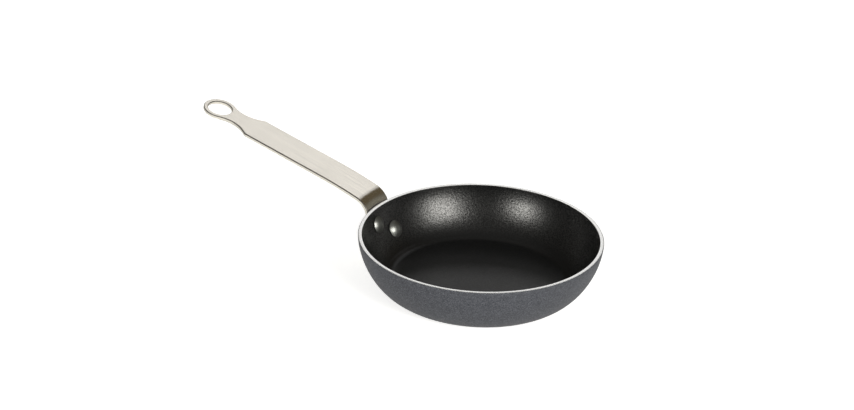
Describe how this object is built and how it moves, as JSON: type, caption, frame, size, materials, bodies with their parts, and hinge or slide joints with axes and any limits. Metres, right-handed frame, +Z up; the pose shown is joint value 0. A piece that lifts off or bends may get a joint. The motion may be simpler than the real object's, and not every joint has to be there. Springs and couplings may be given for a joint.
{
  "type": "blini pan",
  "caption": "Small shallow frying pan: curved bowl with a black non-stick inside, dark speckled outside and bare rim, and a riveted flat steel strip handle that ends in a hanging ring.",
  "frame": {"origin": "centre of the flat base's underside, on the bowl's axis, in the plane that the pan stands on", "axes": "+Z up along the bowl's axis, +X from that axis along the handle to the hanging ring"},
  "size_m": [0.2245, 0.12, 0.056],
  "materials": {
    "bare_aluminium": "turned and bright at the rim and on the base",
    "nonstick_black": "satin black with a fine pebbled texture",
    "speckled_grey": "satin dark grey with a fine speckle",
    "satin_steel": "satin, with softened edges",
    "rivet_steel": "smooth satin"
  },
  "bodies": {
    "root": {"pan_body": "bare_aluminium", "nonstick_lining": "nonstick_black", "outer_coating": "speckled_grey", "handle": "satin_steel", "rivet_upper": "rivet_steel", "rivet_lower": "rivet_steel"}
  },
  "joints": []
}
